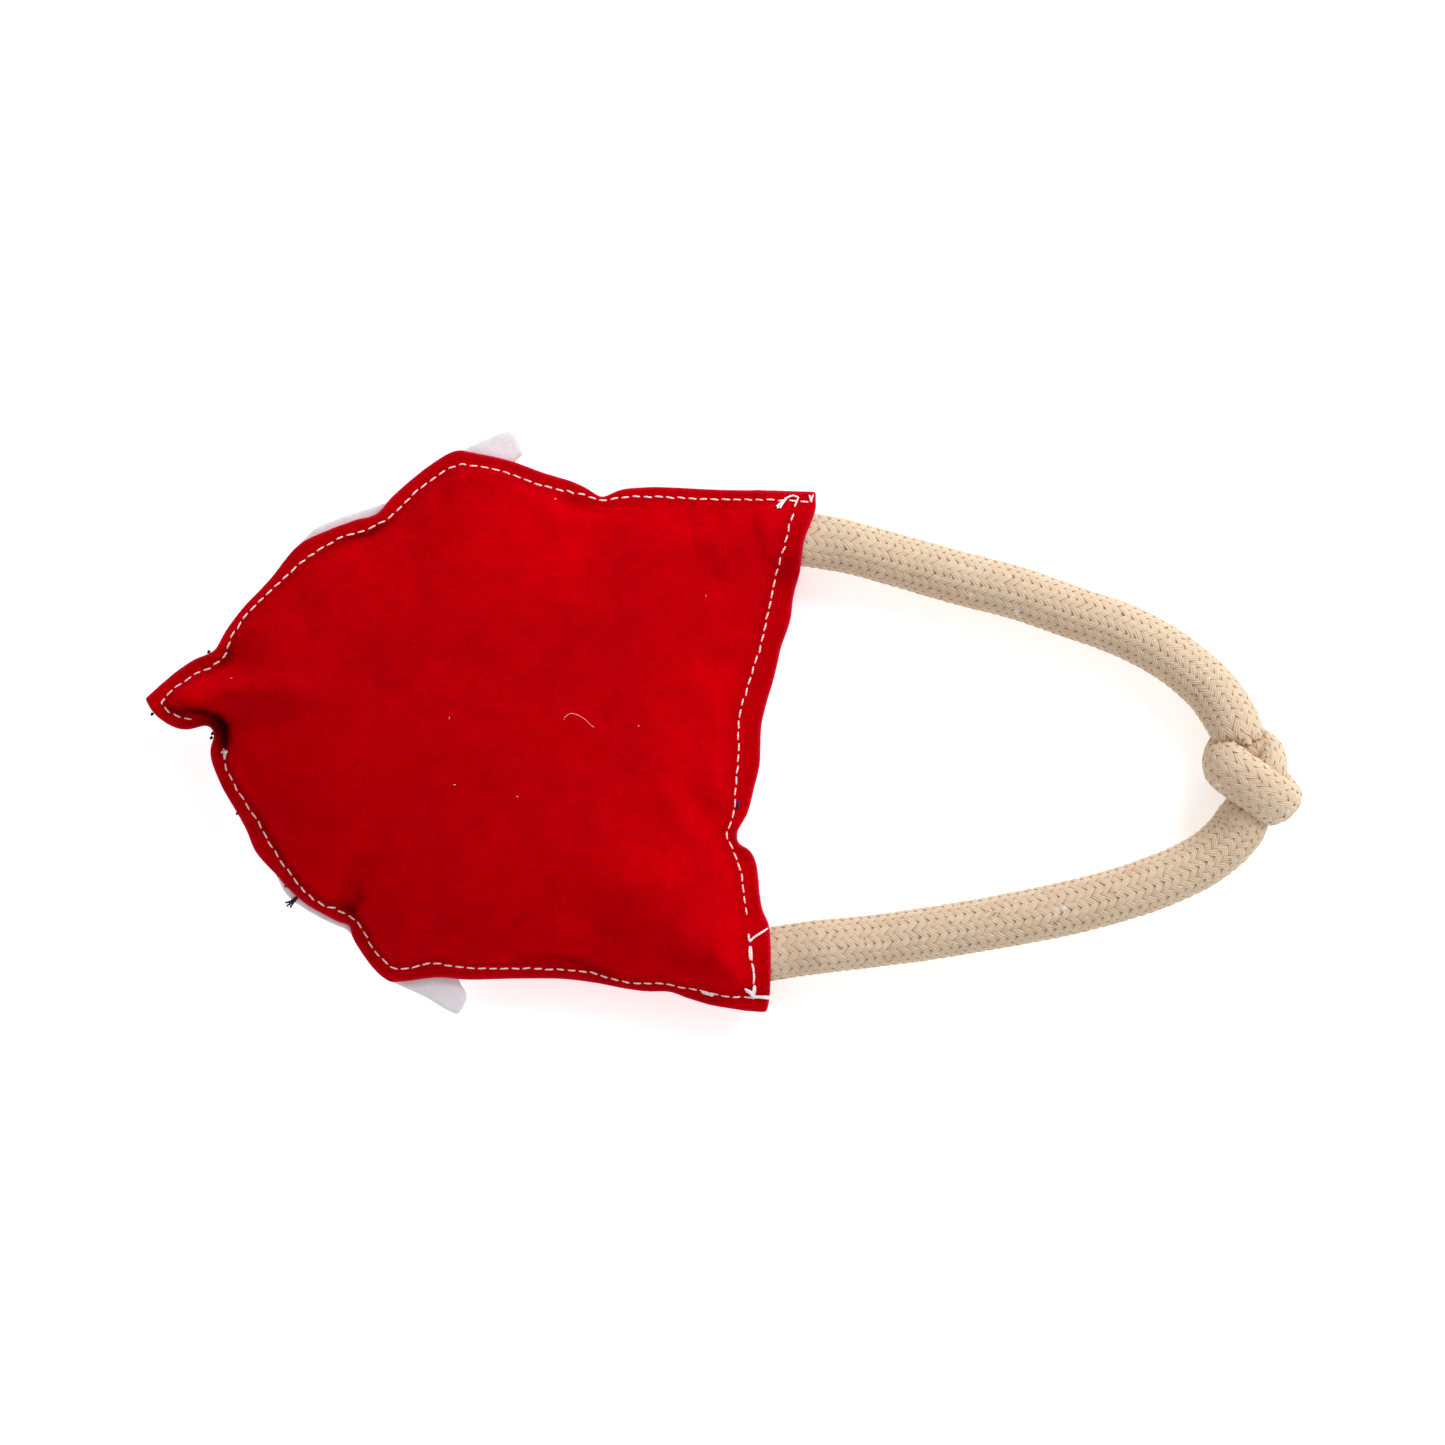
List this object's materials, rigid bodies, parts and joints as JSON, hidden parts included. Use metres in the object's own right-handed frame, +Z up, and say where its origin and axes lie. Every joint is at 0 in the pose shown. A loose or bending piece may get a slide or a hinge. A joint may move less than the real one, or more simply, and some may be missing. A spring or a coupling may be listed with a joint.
{
  "type": "stuffed gift sack",
  "caption": "Soft stuffed pouch of red suede with a white felt front piece and a knotted cotton rope loop in its two closing corners.",
  "frame": {"origin": "on the resting surface, below the middle of the sewn body and its felt (the rope loop left out)", "axes": "+X from the tip towards the straight closing edge and the rope, +Z up from the resting surface"},
  "size_m": [0.3494, 0.1779, 0.0373],
  "materials": {
    "suede": "napped suede, matt with a soft sheen",
    "felt": "white wool felt",
    "stuffing": "loose fibre filling",
    "white_thread": "spun sewing thread",
    "black_thread": "dark sewing thread",
    "rope": "natural braided cotton"
  },
  "bodies": {
    "sack": {"back_panel": "suede", "front_panel": "suede", "stuffing": "stuffing", "felt_applique": "felt", "side_seam_top_thread": "white_thread", "side_seam_under_thread": "white_thread", "closing_seam_top_thread": "white_thread", "closing_seam_under_thread": "white_thread", "upper_corner_thread": "white_thread", "lower_corner_thread": "white_thread", "tip_thread_tail": "white_thread", "felt_stitching": "black_thread", "felt_thread_tail": "black_thread", "rope_upper_end": "rope", "rope_lower_end": "rope"},
    "loop": {"rope_upper_leg": "rope", "rope_knot": "rope", "rope_lower_leg": "rope"}
  },
  "joints": [
    {"name": "loop_swing", "type": "hinge", "parent": "sack", "child": "loop", "pos_m": [0.10485, -0.00745, 0.011], "axis": [-0.0857, -0.9963, 0], "range_deg": [0, 100]}
  ]
}
